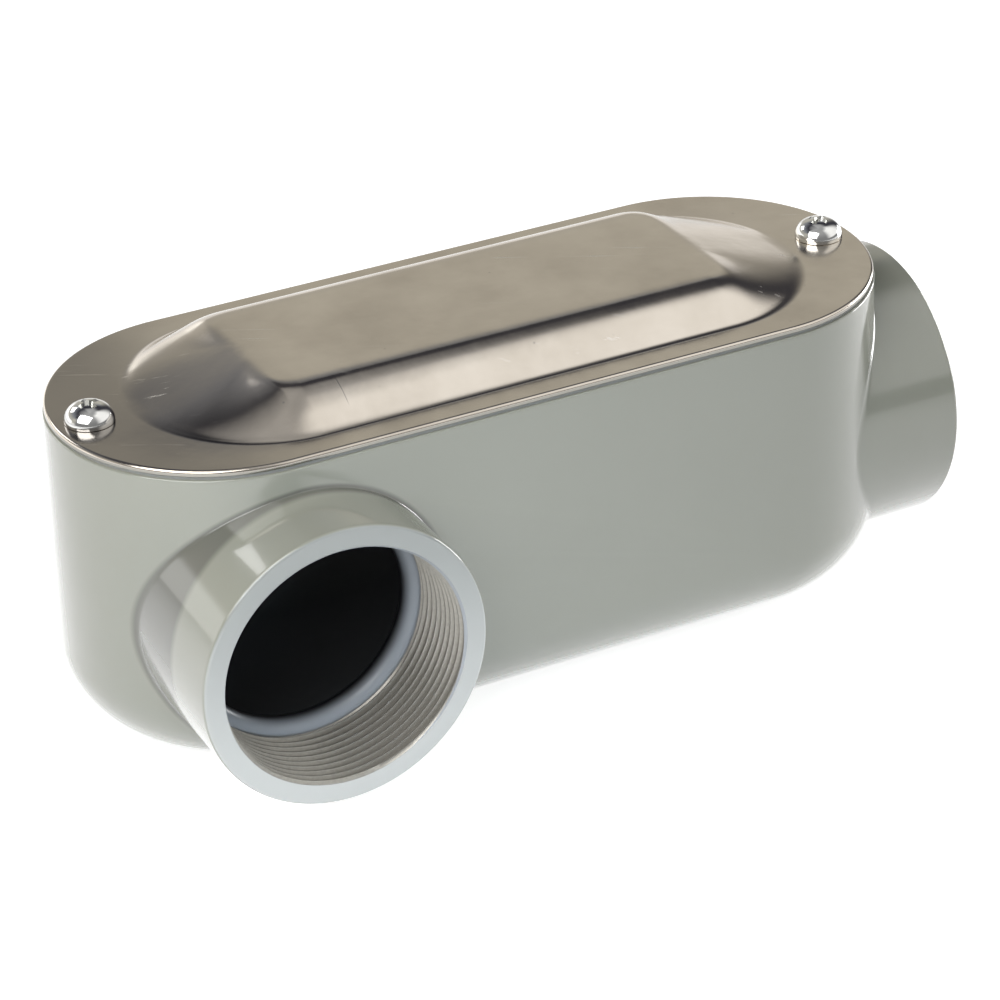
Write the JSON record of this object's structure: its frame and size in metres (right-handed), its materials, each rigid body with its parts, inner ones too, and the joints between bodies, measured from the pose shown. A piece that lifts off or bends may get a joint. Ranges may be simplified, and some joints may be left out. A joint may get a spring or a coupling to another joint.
{
  "type": "conduit body",
  "caption": "Oblong cast conduit body with rounded ends, a threaded hub in its side and another in its end, and a stamped cover with a raised panel held on a gasket by screws.",
  "frame": {"origin": "centre of the flat back face, midway between the cover screws", "axes": "+X along the body towards the end hub, -Y out of the side hub, +Z out through the cover"},
  "size_m": [0.2165, 0.0997, 0.0864],
  "materials": {
    "casting_paint": "gloss",
    "gasket_rubber": "matte",
    "cover_metal": "satin",
    "screw_plating": "polished"
  },
  "bodies": {
    "casting": {"body_casting": "casting_paint"},
    "gasket": {"cover_gasket": "gasket_rubber"},
    "cover": {"cover_plate": "cover_metal"},
    "screw_left": {"cover_screw_left": "screw_plating"},
    "screw_right": {"cover_screw_right": "screw_plating"}
  },
  "joints": [
    {"name": "gasket_lift", "type": "slide", "parent": "casting", "child": "gasket", "axis": [0, 0, 1], "range_m": [0, 0.03]},
    {"name": "cover_lift", "type": "slide", "parent": "gasket", "child": "cover", "axis": [0, 0, 1], "range_m": [0, 0.06]},
    {"name": "screw_left_out", "type": "slide", "parent": "cover", "child": "screw_left", "axis": [0, 0, 1], "range_m": [0, 0.012]},
    {"name": "screw_right_out", "type": "slide", "parent": "cover", "child": "screw_right", "axis": [0, 0, 1], "range_m": [0, 0.012]}
  ]
}
